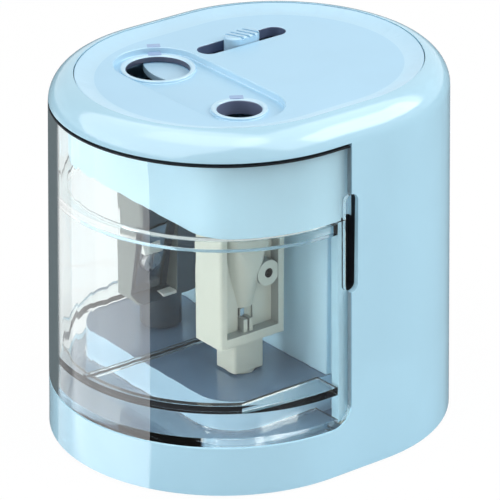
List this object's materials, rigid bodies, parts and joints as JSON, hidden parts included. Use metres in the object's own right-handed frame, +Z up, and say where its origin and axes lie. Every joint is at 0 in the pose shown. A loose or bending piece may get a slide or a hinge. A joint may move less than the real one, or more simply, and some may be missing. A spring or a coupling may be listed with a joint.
{
  "type": "pencil sharpener",
  "caption": "Oblong desktop pencil sharpener with small and large holes, a sliding hole shutter, motor-driven cutters and a clear pull-out shavings bin.",
  "frame": {"origin": "centre of the footprint on the desk, under the feet", "axes": "+Z up, -Y towards the clear bin (the front), +X towards the small hole"},
  "size_m": [0.072, 0.086, 0.0774],
  "materials": {
    "blue_gloss": "pale blue moulded shell, glossy",
    "blue_top": "pale blue, satin",
    "blue_inner": "pale blue inner moulding, semi-gloss",
    "blue_base": "pale blue, fine texture",
    "blue_pale": "paler blue, satin",
    "clear_plastic": "clear moulded polystyrene",
    "cream_plastic": "cream moulding, satin",
    "smoke_plastic": "dark smoke moulding, glossy",
    "black_plastic": "black",
    "grey_plastic": "grey",
    "white_gear": "natural acetal",
    "blade_steel": "ground blade steel",
    "screw_steel": "zinc plated",
    "pin_steel": "ground pin",
    "motor_steel": "zinc plated can",
    "brass_pinion": "turned brass",
    "cell_wrap": "plain wrapped cell, no print",
    "contact_metal": "nickel-plated leaf",
    "foot_rubber": "black rubber"
  },
  "bodies": {
    "housing": {"main_housing": "blue_gloss", "top_plate": "blue_top", "upper_housing": "blue_inner", "rear_bulkhead": "blue_inner", "drive_deck": "blue_inner", "base_plate": "blue_base", "base_screws": "screw_steel", "feet": "foot_rubber", "selector_switch": "black_plastic", "compound_axle": "pin_steel", "motor_can": "motor_steel", "motor_cap": "black_plastic", "motor_screws": "screw_steel", "battery_holder": "grey_plastic", "battery_cells": "cell_wrap", "top_contacts": "contact_metal"},
    "bin": {"shavings_bin": "clear_plastic"},
    "selector": {"selector_knob": "blue_pale", "hole_shutter": "blue_pale"},
    "idler": {"compound_gear": "white_gear"},
    "rotor": {"motor_shaft": "pin_steel", "motor_pinion": "brass_pinion"},
    "left_cutter": {"left_carrier": "smoke_plastic", "left_blade": "blade_steel", "left_blade_screw": "screw_steel", "left_output_gear": "white_gear"},
    "right_cutter": {"right_carrier": "cream_plastic", "right_blade": "blade_steel", "right_blade_screw": "screw_steel", "right_output_gear": "white_gear"},
    "door": {"battery_door": "blue_base", "door_contacts": "contact_metal"}
  },
  "joints": [
    {"name": "bin_slide", "type": "slide", "parent": "housing", "child": "bin", "axis": [0, -1, 0], "range_m": [0, 0.06]},
    {"name": "selector_slide", "type": "slide", "parent": "housing", "child": "selector", "axis": [0, 1, 0], "range_m": [-0.0067, 0.0067]},
    {"name": "left_cutter_spin", "type": "hinge", "parent": "housing", "child": "left_cutter", "pos_m": [-0.0134, -0.013, 0.03], "axis": [0, 0, 1], "continuous": true},
    {"name": "right_cutter_spin", "type": "hinge", "parent": "housing", "child": "right_cutter", "pos_m": [0.0134, -0.013, 0.03], "axis": [0, 0, 1], "continuous": true},
    {"name": "idler_spin", "type": "hinge", "parent": "housing", "child": "idler", "pos_m": [0, -0.00521, 0.01], "axis": [0, 0, 1], "continuous": true},
    {"name": "rotor_spin", "type": "hinge", "parent": "housing", "child": "rotor", "pos_m": [0, 0.00979, 0.012], "axis": [0, 0, 1], "continuous": true},
    {"name": "door_hinge", "type": "hinge", "parent": "housing", "child": "door", "pos_m": [0, -0.0012, 0.0021], "axis": [-1, 0, 0], "range_deg": [0, 100]}
  ],
  "couplings": [
    {"joint": "right_cutter_spin", "follows": "left_cutter_spin", "ratio": 1},
    {"joint": "idler_spin", "follows": "left_cutter_spin", "ratio": -3.4286},
    {"joint": "rotor_spin", "follows": "left_cutter_spin", "ratio": 17.143}
  ]
}
